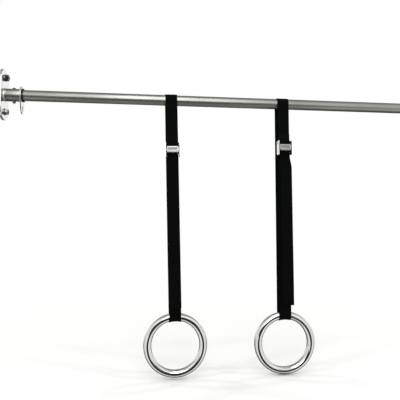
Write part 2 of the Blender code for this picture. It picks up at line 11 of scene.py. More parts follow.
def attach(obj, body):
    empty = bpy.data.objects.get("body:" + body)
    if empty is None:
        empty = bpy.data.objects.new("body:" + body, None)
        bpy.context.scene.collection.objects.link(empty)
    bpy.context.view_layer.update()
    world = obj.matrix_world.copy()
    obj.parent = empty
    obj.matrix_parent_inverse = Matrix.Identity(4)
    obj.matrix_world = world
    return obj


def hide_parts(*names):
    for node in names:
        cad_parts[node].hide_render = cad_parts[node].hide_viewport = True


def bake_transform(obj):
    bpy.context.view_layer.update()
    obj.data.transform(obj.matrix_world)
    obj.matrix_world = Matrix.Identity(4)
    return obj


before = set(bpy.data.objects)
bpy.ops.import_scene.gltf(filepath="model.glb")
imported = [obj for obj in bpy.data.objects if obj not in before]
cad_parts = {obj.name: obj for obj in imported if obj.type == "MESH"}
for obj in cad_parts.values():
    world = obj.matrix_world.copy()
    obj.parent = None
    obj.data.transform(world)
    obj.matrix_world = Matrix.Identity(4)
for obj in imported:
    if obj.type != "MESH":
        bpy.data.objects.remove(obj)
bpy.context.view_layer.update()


# Small tools for meshes and nodes

gap = 0.0003  # clearance between pieces that touch
quarter = pi / 2
alongX = Matrix.Rotation(quarter, 4, "Y")  # lays a shape turned about Z along the bar
facingX = Matrix.Rotation(quarter, 4, "Z") @ Matrix.Rotation(quarter, 4, "X")  # stands an outline on a wall
rampKeys = ("From Min", "From Max", "To Min", "To Max")  # the order of the numbers in each ramp below


def linear(hexColour):
    channels = [int(hexColour[i:i + 2], 16) / 255 for i in (1, 3, 5)]
    return [c / 12.92 if c <= 0.04045 else ((c + 0.055) / 1.055) ** 2.4 for c in channels] + [1.0]


def join(tree, node, sources):
    # A source is one output of a node, or a node, which stands for its first output
    for key, source in sources.items():
        tree.links.new(getattr(source, "outputs", [source])[0], node.inputs[key])


def addNode(tree, kind, settings=None, links=None):
    node = tree.nodes.new("ShaderNode" + kind)
    for key, value in (settings or {}).items():
        if isinstance(key, int) or key in node.inputs:
            node.inputs[key].default_value = value
        else:
            setattr(node, key, value)
    join(tree, node, links or {})
    return node


def addObject(name, data):
    made = bpy.data.objects.new(name, data)
    bpy.context.scene.collection.objects.link(made)
    return made


def newMaterial(name, settings):
    made = bpy.data.materials.new(name)
    made.use_nodes = True
    tree = made.node_tree
    shader = tree.nodes["Principled BSDF"]
    for key, value in settings.items():
        shader.inputs[key].default_value = value
    return made, tree, shader


def finishSurface(tree, shader, look, part, height):
    # The colour goes from the first tone to the second as part goes from 0 to 1. The height is fine relief
    tones = {"data_type": "RGBA", 6: linear(look["tones"][0]), 7: linear(look["tones"][1])}
    tone = addNode(tree, "Mix", tones, {0: part})
    bump = addNode(tree, "Bump", {"Strength": look["bump"], "Distance": look["depth"]}, {"Height": height})
    join(tree, shader, {"Base Color": tone.outputs[2], "Normal": bump})


def mixed(first, second, part):
    return [a + (b - a) * part for a, b in zip(first, second)]


def smooth(part):
    part = min(max(part, 0.0), 1.0)
    return part * part * (3 - 2 * part)


def polar(centre, radius, angle):
    return (centre[0] + radius * cos(angle), centre[1] + radius * sin(angle))


def arc(centre, radius, start, end, steps):
    return [polar(centre, radius, start + (end - start) * i / steps) for i in range(steps + 1)]


def loft(rows, joined=False):
    # Quads between rows of points. Joined rows close on themselves, others are capped at both ends.
    count = len(rows[0])
    points = [tuple(point) for row in rows for point in row]
    faces = []
    for i in range(len(rows) if joined else len(rows) - 1):
        here = i * count
        there = (i + 1) % len(rows) * count
        for j in range(count):
            k = (j + 1) % count
            faces.append((here + j, here + k, there + k, there + j))
    if not joined:
        faces.append(tuple(range(count)))
        faces.append(tuple(range(len(points) - count, len(points))))
    return points, faces


def merged(shapes):
    points, faces = [], []
    for morePoints, moreFaces in shapes:
        faces += [tuple(index + len(points) for index in face) for face in moreFaces]
        points += morePoints
    return points, faces


def turned(profile, sides, joined=False):
    # Rows about Z from (radius, height) points. Either may also be a function of angle.
    rows = []
    for radius, height in profile:
        row = []
        for j in range(sides):
            angle = tau * j / sides
            r = radius(angle) if callable(radius) else radius
            h = height(angle) if callable(height) else height
            row.append((r * cos(angle), r * sin(angle), h))
        rows.append(row)
    return loft(rows, joined)


def makePiece(name, shape, look, place=None, sharp=35, flow=None):
    # A closed mesh, smooth but for its sharp edges. flow is a (u, v) for each point.
    points, faces = shape
    mesh = bpy.data.meshes.new(name)
    mesh.from_pydata(points, [], faces)
    if flow:
        layer = mesh.uv_layers.new(name="flow")
        for loop in mesh.loops:
            layer.data[loop.index].uv = flow[loop.vertex_index]
    if place:
        mesh.transform(place)
    work = bmesh.new()
    work.from_mesh(mesh)
    bmesh.ops.remove_doubles(work, verts=work.verts, dist=1e-6)
    bmesh.ops.dissolve_degenerate(work, edges=work.edges, dist=1e-7)
    bmesh.ops.recalc_face_normals(work, faces=work.faces)
    work.to_mesh(mesh)
    work.free()
    mesh.shade_smooth()
    mesh.set_sharp_from_angle(angle=radians(sharp))
    mesh.materials.append(material[look])
    return addObject(name, mesh)


def finishPiece(piece, node=None, body="root"):
    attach(piece, body)
    if node:
        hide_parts(node)


def bakeModifiers(piece):
    bpy.context.view_layer.update()
    graph = bpy.context.evaluated_depsgraph_get()
    mesh = bpy.data.meshes.new_from_object(piece.evaluated_get(graph))
    piece.modifiers.clear()
    piece.data = mesh


def carve(piece, cutter):
    # Takes one closed mesh out of another and applies the result
    modifier = piece.modifiers.new("carve", "BOOLEAN")
    modifier.operation = "DIFFERENCE"
    modifier.solver = "EXACT"
    modifier.object = cutter
    bakeModifiers(piece)
    bpy.data.objects.remove(cutter)


def roundEdges(piece, width, segments=3):
    modifier = piece.modifiers.new("round", "BEVEL")
    modifier.width = width
    modifier.segments = segments
    modifier.limit_method = "ANGLE"
    modifier.angle_limit = radians(40)
    modifier.harden_normals = True
    bakeModifiers(piece)


# Camera at the photograph's angle: a little left of the middle, at the height of the straps

camera = {
    "place": (0.4356, -1.404, -0.388),
    "turn": radians(7.23),
    "lift": radians(2.73),
    "lens": 39.6,
    "film": 36.0,
}


def makeCamera():
    data = bpy.data.cameras.new("camera")
    data.lens = camera["lens"]
    data.sensor_width = camera["film"]
    view = addObject("camera", data)
    turn, lift = camera["turn"], camera["lift"]
    ahead = Vector((sin(turn) * cos(lift), cos(turn) * cos(lift), sin(lift)))
    view.location = camera["place"]
    view.rotation_euler = ahead.to_track_quat("-Z", "Y").to_euler()
    bpy.context.scene.camera = view


makeCamera()
print("camera in place")


# Where each strap set hangs, in its own frame: origin on the bar's axis, strap down -Z

hang = {
    "left": {
        "x": 0.5195, "lean": 1.2, "front": 0.018548, "back": 0.0, "drift": 0.0,
        "buckle": 0.142, "ring": 0.690,
    },
    "right": {
        "x": 0.8870, "lean": 0.25, "front": 0.018150, "back": 0.001, "drift": 0.006,
        "buckle": 0.128, "ring": 0.694,
    },
}
web = {
    # the woven band and its rounded, slightly raised selvedges
    "width": 0.038, "thickness": 0.0020, "edgeRound": 0.00095, "edgeSteps": 8, "columns": 22,
    "proud": 0.00012, "proudFrom": 0.0155, "proudOver": 0.0018,
    # rows along the band, and steps round each bend
    "rowStep": 0.006, "loopStep": 0.004, "foldSteps": 16, "overSteps": 32, "wrapSteps": 14, "underSteps": 36,
    # the sewn tab, the runs and the loop round the ring
    "tab": 0.032, "taper": 0.016, "taperLead": 0.004, "taperSteps": 12, "fold": 0.0043, "wrap": 0.0024,
    "wrapLead": 0.0085, "backStart": 0.060, "backLead": 0.002, "lowerRun": 0.064, "loopRise": 0.026,
    "loopHalf": 0.01623,
    # the hanging tail
    "tailEnd": 0.658, "tailTip": 0.030, "tailLift": 0.0048, "tailLifted": 0.598, "driftEase": 0.040,
    "driftSteps": 8,
}
drops = {"pin": 0.006, "base": 0.019, "frame": 0.045, "exit": 0.049}  # below the buckle's top
ringSize = {
    "radius": 0.088, "tube": 0.0125, "around": 288, "section": 56, "seamWidth": 0.0005, "seamDepth": 0.0004,
}


def setFrame(side):
    at = hang[side]
    return Matrix.Translation((at["x"], 0, 0)) @ Matrix.Rotation(radians(-at["lean"]), 4, "Y")


def levels(side):
    at = hang[side]
    front, top = -at["front"], -at["buckle"]
    loopTop = -at["ring"] + web["loopRise"]
    return {
        "front": front,
        "base": front - web["wrap"],
        "tail": front - 2 * web["wrap"],
        "pinY": front - web["fold"],
        "pinZ": top - drops["pin"],
        "baseTop": top - drops["base"],
        "frameTop": top,
        "frameBottom": top - drops["frame"],
        "exit": top - drops["exit"],
        "ringAxis": -at["ring"],
        "loopTop": loopTop,
        "lowerTop": loopTop + web["lowerRun"],
        "tailTop": -web["tailEnd"] + web["tailTip"],
        "frontRun": ((0, front, top - drops["exit"]), (0, -web["loopHalf"], loopTop)),
        "backRun": ((at["back"], -front, -web["backStart"]), (0, web["loopHalf"], loopTop)),
    }


def cutRun(run, height):
    # The point of a straight run at a height
    top, bottom = run
    return tuple(mixed(top, bottom, (top[2] - height) / (top[2] - bottom[2])))


# Woven polyester webbing: a deep matt black herringbone that keeps a faint thread line in raking light

weave = {
    "tones": ("#030504", "#090b0a"), "bump": 0.55, "depth": 0.00025,
    "warp": 0.0012,  # real warp ends lie 0.6 mm apart, drawn at twice that so that they show
    "twill": 0.0034, "band": 0.0095, "selvedge": 0.0172, "warpShare": 0.45, "shade": 0.22, "patches": 55.0,
}


def makeWeave():
    settings = {"Roughness": 0.88, "Specular IOR Level": 0.03, "Sheen Weight": 0.012, "Sheen Roughness": 0.45}
    made, tree, shader = newMaterial("wovenPolyesterBlack", settings)
    twillPace, warpPace = tau / weave["twill"], tau / weave["warp"]
    flow = addNode(tree, "UVMap", {"uv_map": "flow"})
    parts = addNode(tree, "SeparateXYZ", {}, {0: flow})
    across, along = parts.outputs[0], parts.outputs[1]
    zigzag = addNode(tree, "Math", {"operation": "PINGPONG", 1: weave["band"]}, {0: across})
    slant = addNode(tree, "Math", {"operation": "ADD"}, {0: zigzag, 1: along})
    twillWave = addNode(tree, "Math", {"operation": "MULTIPLY", 1: twillPace}, {0: slant})
    twill = addNode(tree, "Math", {"operation": "SINE"}, {0: twillWave})
    warpWave = addNode(tree, "Math", {"operation": "MULTIPLY", 1: warpPace}, {0: across})
    warp = addNode(tree, "Math", {"operation": "COSINE"}, {0: warpWave})
    body = addNode(tree, "Math", {"operation": "MULTIPLY_ADD", 1: weave["warpShare"]}, {0: warp, 2: twill})
    ribWave = addNode(tree, "Math", {"operation": "MULTIPLY", 1: twillPace * 2}, {0: along})
    rib = addNode(tree, "Math", {"operation": "SINE"}, {0: ribWave})
    reach = addNode(tree, "Math", {"operation": "ABSOLUTE"}, {0: across})
    edge = addNode(tree, "Math", {"operation": "GREATER_THAN", 1: weave["selvedge"]}, {0: reach})
    height = addNode(tree, "Mix", {"data_type": "FLOAT"}, {0: edge, 2: body, 3: rib})
    # Dye and handling leave slow patches a little lighter or darker
    patch = addNode(tree, "TexNoise", {"Scale": weave["patches"], "Detail": 3.0}, {"Vector": flow})
    shade = addNode(tree, "Math", {"operation": "MULTIPLY_ADD", 1: weave["shade"]}, {0: height, 2: patch})
    finishSurface(tree, shader, weave, shade, height)
    return made


# Bonded nylon thread: round, slightly waxed, so it catches a little more light than the webbing

thread = {"tones": ("#0d0e0d", "#1d1e1c"), "bump": 0.4, "depth": 0.0001, "twist": 420.0, "wobble": 0.6}


def makeThread():
    made, tree, shader = newMaterial("bondedNylonThread", {"Roughness": 0.5, "Specular IOR Level": 0.3})
    place = addNode(tree, "TexCoord").outputs["Object"]
    wave = {"bands_direction": "DIAGONAL", "Scale": thread["twist"], "Distortion": thread["wobble"]}
    twist = addNode(tree, "TexWave", wave, {"Vector": place}).outputs["Fac"]
    finishSurface(tree, shader, thread, twist, twist)
    return made


# Steels. Each finish has its own grind or polish lines and its own slow change of gloss

steels = {
    # Satin stainless bar and sleeves, ground along their length: soft streaked highlight, faintly warm grey
    "satinGroundStainless": {
        "tones": ("#aaaba5", "#979892"), "roughness": (0.30, 0.38),
        "grain": (7.0, 700.0, 700.0), "bump": 0.05, "depth": 0.00004, "cloud": 6.0,
    },
    # Polished stainless plates, collars and weld beads: bright, with a trace of the polishing mop
    "moppedStainless": {
        "tones": ("#efefed", "#e2e2df"), "roughness": (0.13, 0.22),
        "grain": (300.0, 40.0, 40.0), "bump": 0.05, "depth": 0.00003, "cloud": 14.0,
    },
    # Mirror-polished ring: almost clean reflections, with the faintest handling haze
    "mirrorPolishedSteel": {
        "tones": ("#eff0ee", "#e6e7e4"), "roughness": (0.015, 0.05),
        "grain": (60.0, 60.0, 60.0), "bump": 0.012, "depth": 0.00003, "cloud": 18.0,
    },
    # Brushed cast steel of the cam lever: greyer than its frame, its glints drawn out by the brushing
    "brushedCastSteel": {
        "tones": ("#acaca9", "#9e9e9b"), "roughness": (0.36, 0.44),
        "grain": (30.0, 500.0, 500.0), "bump": 0.08, "depth": 0.00004, "cloud": 40.0,
    },
    # Nickel-plated pressed steel: bright buckle metal with a soft orange peel
    "nickelPlatedSteel": {
        "tones": ("#ececea", "#dcdcd9"), "roughness": (0.20, 0.30),
        "grain": (260.0, 260.0, 260.0), "bump": 0.10, "depth": 0.00005, "cloud": 40.0,
    },
    # Oiled machined steel fasteners: turned and threaded, dark but for small glints
    "oiledMachinedSteel": {
        "tones": ("#8f8f8c", "#5c5c5a"), "roughness": (0.14, 0.27),
        "grain": (500.0, 120.0, 120.0), "bump": 0.10, "depth": 0.00004, "cloud": 120.0,
    },
    # Oil-tempered spring wire: brown-grey and dull
    "temperedSpringWire": {
        "tones": ("#8d8a86", "#6d6a67"), "roughness": (0.30, 0.42),
        "grain": (900.0, 120.0, 120.0), "bump": 0.10, "depth": 0.00003, "cloud": 200.0,
    },
}
gloss = {"grainShare": 0.5, "grain": (0.45, 1.05), "patches": (0.35, 0.7)}


def makeSteel(name):
    look = steels[name]
    made, tree, shader = newMaterial(name, {"Metallic": 1.0})
    place = addNode(tree, "TexCoord").outputs["Object"]
    stretch = addNode(tree, "Mapping", {"Scale": look["grain"]}, {"Vector": place})
    grain = addNode(tree, "TexNoise", {"Scale": 1.0, "Detail": 4.0, "Roughness": 0.6}, {"Vector": stretch})
    cloud = addNode(tree, "TexNoise", {"Scale": look["cloud"], "Detail": 3.0}, {"Vector": place})
    mix = addNode(tree, "Math", {"operation": "MULTIPLY_ADD", 1: gloss["grainShare"]}, {0: grain, 2: cloud})
    ramp = dict(zip(rampKeys, gloss["grain"] + look["roughness"]))
    spread = addNode(tree, "MapRange", ramp, {"Value": mix})
    part = addNode(tree, "MapRange", dict(zip(rampKeys, gloss["patches"])), {"Value": cloud})
    finishSurface(tree, shader, look, part, grain)
    join(tree, shader, {"Roughness": spread})
    return made


# Moulded black rubber: even matt black with a fine moulded grain

rubber = {"tones": ("#0c0c0c", "#161616"), "bump": 0.3, "depth": 0.00008, "grain": 1400.0}


def makeRubber():
    made, tree, shader = newMaterial("mouldedBlackRubber", {"Roughness": 0.62, "Specular IOR Level": 0.35})
    place = addNode(tree, "TexCoord").outputs["Object"]
    grain = addNode(tree, "TexNoise", {"Scale": rubber["grain"], "Detail": 2.0}, {"Vector": place})
    finishSurface(tree, shader, rubber, grain, grain)
    return made


material = {name: makeSteel(name) for name in steels}
material["weave"] = makeWeave()
material["thread"] = makeThread()
material["rubber"] = makeRubber()
print("materials made")


# Bar: satin tube between the walls

bar = {
    "walls": 1.410,  # from wall to wall
    "start": 0.0083, "end": 1.4017, "radius": 0.01685, "wall": 0.0026, "sides": 96, "edge": 0.0004,
}


def makeBar():
    outer, bore, edge = bar["radius"], bar["radius"] - bar["wall"], bar["edge"]
    profile = [
        (bore, bar["start"]), (outer - edge, bar["start"]), (outer, bar["start"] + edge),
        (outer, bar["end"] - edge), (outer - edge, bar["end"]), (bore, bar["end"]),
    ]
    tube = turned(profile, bar["sides"], joined=True)
    finishPiece(makePiece("barTube", tube, "satinGroundStainless", alongX), "bar_tube")


makeBar()


# Wall bracket: round-ended plate, studs with washers and nuts, sleeve with a fillet weld, collar with an eye

plate = {"half": 0.0385, "radius": 0.040, "thickness": 0.008, "edge": 0.0014, "edgeSteps": 5, "turnSteps": 40}
fastener = {
    "spacing": 0.053, "thread": 0.005, "pitch": 0.0015, "threadDepth": 0.0007, "runOut": 0.0008,
    "rowsPerTurn": 6, "fadeRows": 5, "end": 0.0210, "point": 0.0012,
    "washerRadius": 0.01075, "washer": 0.0020, "washerEdge": 0.0003, "washerBevel": 0.0006,
    "flats": 0.017, "nut": 0.0084, "spins": {"Upper": 17, "Lower": 42},
}
nutShape = {"sides": 72, "mouth": 0.0006, "faceReach": 0.97, "cone": radians(30)}
sleeve = {"bore": 0.01715, "radius": 0.01935, "end": 0.0610, "edge": 0.0006, "edgeCut": 0.3, "sides": 96}
weld = {
    "leg": 0.00252, "steps": 6, "sides": 192, "sink": (0.0004, 0.0003),
    "ripples": 46, "ripple": 0.07, "swells": 5, "swell": 0.05,
}
collar = {
    "radius": 0.027, "thickness": 0.004, "lug": 0.016, "drop": 0.042, "eye": 0.007, "edge": 0.0011,
    "turnSteps": 48, "boreSides": 96, "eyeSides": 64, "cutLength": 0.1,
}
seal = {
    "bore": 0.01715, "wall": 0.0035, "start": 0.0613, "thickness": 0.0030, "round": 0.6,
    "steps": 20, "sides": 96,
}
crossBolt = {
    "x": 0.035, "shank": 0.003, "flats": 0.010, "nut": 0.0050, "spin": 46, "tip": 0.0012, "tipEdge": 0.0005,
    "head": 0.00525, "headHeight": 0.0033, "headSide": 0.0009, "domeTop": 0.0026, "domeTurn": radians(62),
    "domeSteps": 8, "socket": 0.0034, "socketDepth": 0.0018, "socketCone": 0.0003,
}


def beltOutline(upper, lower, high, low, steps):
    # A belt round two circles, one above the other
    tilt = asin((upper - lower) / (high - low))
    over = arc((0, high), upper, -tilt, pi + tilt, steps)
    under = arc((0, low), lower, pi + tilt, tau - tilt, steps)
    return over + under


def makePlate(side, wall):
    edge, half = plate["edge"], plate["half"]
    insets = arc((edge, edge), edge, 1.5 * pi, pi, plate["edgeSteps"])
    insets += arc((edge, plate["thickness"] - edge), edge, pi, quarter, plate["edgeSteps"])
    rows = []
    for inset, depth in insets:
        reach = plate["radius"] - inset
        rows.append([(x, y, depth) for x, y in beltOutline(reach, reach, half, -half, plate["turnSteps"])])
    piece = makePiece(side + "WallPlate", loft(rows), "moppedStainless", wall @ facingX, sharp=30)
    finishPiece(piece, side + "_wall_plate")


def threadedRod(start, threadStart):
    # Plain to threadStart, then a true helix that runs out on a chamfered point
    radius, pitch, end, point = fastener["thread"], fastener["pitch"], fastener["end"], fastener["point"]
    profile = [(0, start), (radius, start), (radius, threadStart)]
    step = pitch / fastener["rowsPerTurn"]
    for i in range(1, int((end - point / 2 - threadStart) / step) + 1):
        height = threadStart + i * step
        depth = fastener["threadDepth"] * smooth(i / fastener["fadeRows"])
        limit = radius - max(0.0, height - (end - point))

        def threadRadius(angle, height=height, depth=depth, limit=limit):
            phase = (height / pitch - angle / tau) % 1.0
            ridge = abs(2 * phase - 1)
            return min(radius - depth * (1 - ridge), limit)

        profile.append((threadRadius, height))
    profile += [(radius - point, end), (0, end)]
    return turned(profile, nutShape["sides"])


def hexReach(inner):
    return lambda angle: inner / cos(angle % radians(60) - radians(30))


def hexNut(flats, bore, low, high):
    # Hexagon with both faces turned back to a cone at the corners
    inner, mouth = flats / 2, nutShape["mouth"]
    reach, face = hexReach(inner), inner * nutShape["faceReach"]

    def dip(angle):
        return (reach(angle) - inner) * tan(nutShape["cone"])

    profile = [
        (bore, low + mouth), (bore + mouth, low), (face, low), (reach, lambda angle: low + dip(angle)),
        (reach, lambda angle: high - dip(angle)), (face, high), (bore + mouth, high), (bore, high - mouth),
    ]
    return turned(profile, nutShape["sides"], joined=True)


def makeWallFasteners(side, wall):
    hole, outer = fastener["thread"] + gap, fastener["washerRadius"]
    low = plate["thickness"] + gap
    high = low + fastener["washer"]
    nutStart = high + gap
    nutEnd = nutStart + fastener["nut"]
    edge, bevel = fastener["washerEdge"], fastener["washerBevel"]
    washer = [
        (hole, low), (outer - edge, low), (outer, low + edge),
        (outer, high - bevel), (outer - bevel, high), (hole, high),
    ]
    shapes = {
        "Stud": (threadedRod(gap, nutEnd - fastener["runOut"]), 50),
        "Washer": (turned(washer, nutShape["sides"], joined=True), 35),
        "Nut": (hexNut(fastener["flats"], hole, nutStart, nutEnd), 25),
    }
    for level, height in (("Upper", fastener["spacing"]), ("Lower", -fastener["spacing"])):
        spin = Matrix.Rotation(radians(fastener["spins"][level]), 4, "X")
        place = wall @ Matrix.Translation((0, 0, height)) @ spin @ alongX
        for name, (shape, sharp) in shapes.items():
            piece = makePiece(side + level + name, shape, "oiledMachinedSteel", place, sharp)
            finishPiece(piece, f"{side}_{level.lower()}_{name.lower()}")


def makeSleeve(side, wall):
    start, end, edge = plate["thickness"] + gap, sleeve["end"], sleeve["edge"]
    outer, bore, cut = sleeve["radius"], sleeve["bore"], edge * sleeve["edgeCut"]
    profile = [
        (bore, start), (outer, start), (outer, end - edge), (outer - cut, end - cut),
        (outer - edge, end), (bore + edge, end), (bore, end - edge),
    ]
    tube = turned(profile, sleeve["sides"], joined=True)
    piece = makePiece(side + "Sleeve", tube, "satinGroundStainless", wall @ alongX)
    finishPiece(piece, side + "_sleeve")


def makeWeld(side, wall):
    # The fillet weld at the plate, with the ripple a welder leaves
    inside, face = sleeve["radius"] - weld["sink"][0], plate["thickness"]
    rows = []
    for j in range(weld["sides"]):
        angle = tau * j / weld["sides"]
        ripple = weld["ripple"] * sin(angle * weld["ripples"]) + weld["swell"] * sin(angle * weld["swells"])
        leg = weld["leg"] * (1 + ripple)
        row = [(inside, face - weld["sink"][1])]
        row += arc((sleeve["radius"] + leg, face + leg), leg, 1.5 * pi, pi, weld["steps"])
        row.append((inside, face + leg))
        rows.append([(r * cos(angle), r * sin(angle), h) for r, h in row])
    bead = makePiece(side + "SleeveWeld", loft(rows, joined=True), "moppedStainless", wall @ alongX)
    finishPiece(bead)


def makeCollar(side, wall):
    outline = beltOutline(collar["radius"], collar["lug"], 0, -collar["drop"], collar["turnSteps"])
    low, high = sleeve["end"] - collar["thickness"], sleeve["end"]
    shape = loft([[(x, y, low) for x, y in outline], [(x, y, high) for x, y in outline]])
    piece = makePiece(side + "EyeCollar", shape, "moppedStainless", wall @ facingX)
    reach = collar["cutLength"]
    for name, radius, drop in (("bore", sleeve["radius"] + gap, 0.0), ("eye", collar["eye"], collar["drop"])):
        cutter = turned([(0, 0), (radius, 0), (radius, reach), (0, reach)], collar[name + "Sides"])
        place = wall @ Matrix.Translation((0, 0, -drop)) @ alongX
        carve(piece, makePiece(name, cutter, "rubber", place))
    roundEdges(piece, collar["edge"])
    finishPiece(piece, side + "_eye_collar")


def makeSeal(side, wall):
    halfWide, halfHigh = seal["wall"] / 2, seal["thickness"] / 2
    profile = []
    for i in range(seal["steps"]):
        c, s = polar((0, 0), 1, tau * i / seal["steps"])
        profile.append((
            seal["bore"] + halfWide + halfWide * copysign(abs(c) ** seal["round"], c),
            seal["start"] + halfHigh + halfHigh * copysign(abs(s) ** seal["round"], s),
        ))
    shape = turned(profile, seal["sides"], joined=True)
    piece = makePiece(side + "MouthSeal", shape, "rubber", wall @ alongX)
    finishPiece(piece, side + "_mouth_seal")


def makeCrossBolt(side, wall):
    place = wall @ Matrix.Translation((crossBolt["x"], 0, 0))
    seat, shank, head = sleeve["radius"] + gap, crossBolt["shank"], crossBolt["head"]
    top, shoulder = seat + crossBolt["headHeight"], seat + crossBolt["headSide"]
    end, tipEdge = -seat - crossBolt["nut"] - crossBolt["tip"], crossBolt["tipEdge"]
    turn, steps = crossBolt["domeTurn"], crossBolt["domeSteps"]
    profile = [(0, end), (shank - tipEdge, end), (shank, end + tipEdge), (shank, seat), (head, seat)]
    for i in range(steps + 1):
        inwards = (head - crossBolt["domeTop"]) * (1 - cos(turn * i / steps)) / (1 - cos(turn))
        upwards = (top - shoulder) * sin(turn * i / steps) / sin(turn)
        profile.append((head - inwards, shoulder + upwards))
    socket, deep = hexReach(crossBolt["socket"] / 2), top - crossBolt["socketDepth"]
    profile += [(socket, top), (socket, deep), (0, deep - crossBolt["socketCone"])]
    bolt = makePiece(side + "CrossBolt", turned(profile, nutShape["sides"]), "oiledMachinedSteel", place, 40)
    finishPiece(bolt, side + "_cross_bolt")
    shape = hexNut(crossBolt["flats"], shank + gap, -seat - crossBolt["nut"], -seat)
    spin = Matrix.Rotation(radians(crossBolt["spin"]), 4, "Z")
    nut = makePiece(side + "CrossNut", shape, "oiledMachinedSteel", place @ spin, 25)
    finishPiece(nut, side + "_cross_nut")


walls = {
    "left": Matrix.Identity(4),
    "right": Matrix.Translation((bar["walls"], 0, 0)) @ Matrix.Rotation(pi, 4, "Z"),
}
for side, wall in walls.items():
    for make in (makePlate, makeWallFasteners, makeSleeve, makeWeld, makeCollar, makeSeal, makeCrossBolt):
        make(side, wall)
print("bar and brackets made")


# Webbing: a flat ribbon with rounded selvedges along a path, its flow map in metres across and along

def webSection():
    # Half thickness falls away over the rounded edge, and a tubular selvedge stands just proud
    half, thick, edge = web["width"] / 2, web["thickness"] / 2, web["edgeRound"]
    flat, steps = half - edge, web["edgeSteps"]
    top = []
    for i in range(web["columns"] + 1):
        x = -flat + 2 * flat * i / web["columns"]
        top.append((x, thick - web["proud"] * (1 - smooth((abs(x) - web["proudFrom"]) / web["proudOver"]))))
    turns = [pi * i / steps for i in range(1, steps)]
    right = [(flat + edge * sin(a), thick * cos(a)) for a in turns]
    bottom = [(x, -y) for x, y in reversed(top)]
    left = [(-x, -y) for x, y in right]
    return top + right + bottom + left


section = webSection()


def refine(path, step):
    # Splits long straight stretches so that bends spread over rows of even length
    fine = [path[0]]
    for here, there in zip(path, path[1:]):
        length = (Vector(there) - Vector(here)).length
        count = max(1, round(length / step))
        fine += [mixed(here, there, i / count) for i in range(1, count + 1)]
    return fine


def webbing(name, path, place, drop=None):
    # drop(x, i) lowers a point of row i, for webbing that hugs a curved tube
    rows, flow = [], []
    travelled = 0.0
    for i, point in enumerate(path):
        here = Vector(point)
        behind = Vector(path[max(i - 1, 0)])
        ahead = Vector(path[min(i + 1, len(path) - 1)])
        tangent = ahead - behind
        tangent.x = 0
        tangent.normalize()
        out = Vector((0, -tangent.z, tangent.y))
        travelled += (here - behind).length
        row = []
        for across, lift in section:
            spot = here + Vector((across, 0, 0)) + out * lift
            if drop:
                spot.z -= drop(across, i)
            row.append(spot)
            flow.append((across, travelled))
        rows.append(row)
    return makePiece(name, loft(rows), "weave", place, sharp=50, flow=flow)


def finishWebbing(piece, side, place, bodies, reach, *nodes):
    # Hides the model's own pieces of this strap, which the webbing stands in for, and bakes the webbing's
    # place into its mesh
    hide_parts(*[side + node for node in nodes])
    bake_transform(piece)


def makeHanger(side, at, place):
    # From the sewn tab round the anchor pin, up, over the bar and down the back
    pinZ, shift = at["pinZ"], at["backRun"][0][0]
    tabY = at["front"] - web["thickness"] - gap
    foldY = at["front"] - 2 * web["fold"]
    path = [(0, tabY, pinZ + web["tab"]), (0, tabY, pinZ + web["taper"] + web["taperLead"])]
    for i in range(web["taperSteps"] + 1):
        part = i / web["taperSteps"]
        path.append((0, tabY + (foldY - tabY) * smooth(part), pinZ + web["taper"] * (1 - part)))
    fold = arc((at["pinY"], pinZ), web["fold"], pi, tau, web["foldSteps"])
    path += [(0, y, z) for y, z in fold[1:]]
    over = arc((0, 0), -at["front"], pi, 0, web["overSteps"])
    path += [(shift * smooth(i / web["overSteps"]), y, z) for i, (y, z) in enumerate(over)]
    path += [at["backRun"][0], cutRun(at["backRun"], at["lowerTop"])]
    piece = webbing(side + "WebbingHanger", refine(path, web["rowStep"]), place)
    reach = (-web["backStart"] - web["backLead"], at["lowerTop"])
    finishWebbing(piece, side, place, ("_strap", "_lower_strap"), reach, "_strap_upper", "_strap_back_run")


def makeFrontRun(side, at, place):
    # Out of the buckle to the loop: down behind the cam, over the base plate's edge, then down at the back
    path = [(0, at["tail"], at["baseTop"] - web["wrapLead"])]
    wrap = arc((at["base"], at["baseTop"]), web["wrap"], pi, 0, web["wrapSteps"])
    path += [(0, y, z) for y, z in wrap]
    path += [at["frontRun"][0], cutRun(at["frontRun"], at["lowerTop"])]
    piece = webbing(side + "WebbingFrontRun", refine(path, web["rowStep"]), place)
    reach = (at["exit"], at["lowerTop"])
    bodies = ("_strap", "_lower_strap")
    finishWebbing(piece, side, place, bodies, reach, "_strap_cam_wrap", "_strap_front_run")


def makeTail(side, at, place):
    # The free end, hanging in front of the run, and standing off it at the ring so that the loop can turn
    drift, ease, steps = hang[side]["drift"], web["driftEase"], web["driftSteps"]
    off = at["tail"] - web["tailLift"]
    path = [(0, at["tail"], at["baseTop"] - web["wrapLead"]), (0, at["tail"], at["exit"])]
    for i in range(1, steps + 1):
        path.append((drift * smooth(i / steps), at["tail"], at["exit"] - ease * i / steps))
    path += [(drift, off, -web["tailLifted"]), (drift, off, -web["tailEnd"])]
    piece = webbing(side + "WebbingTail", refine(path, web["rowStep"]), place)
    reach = (at["exit"], at["tailTop"])
    finishWebbing(piece, side, place, ("_strap", "_tail_end"), reach, "_strap_tail", "_strap_tail_end")


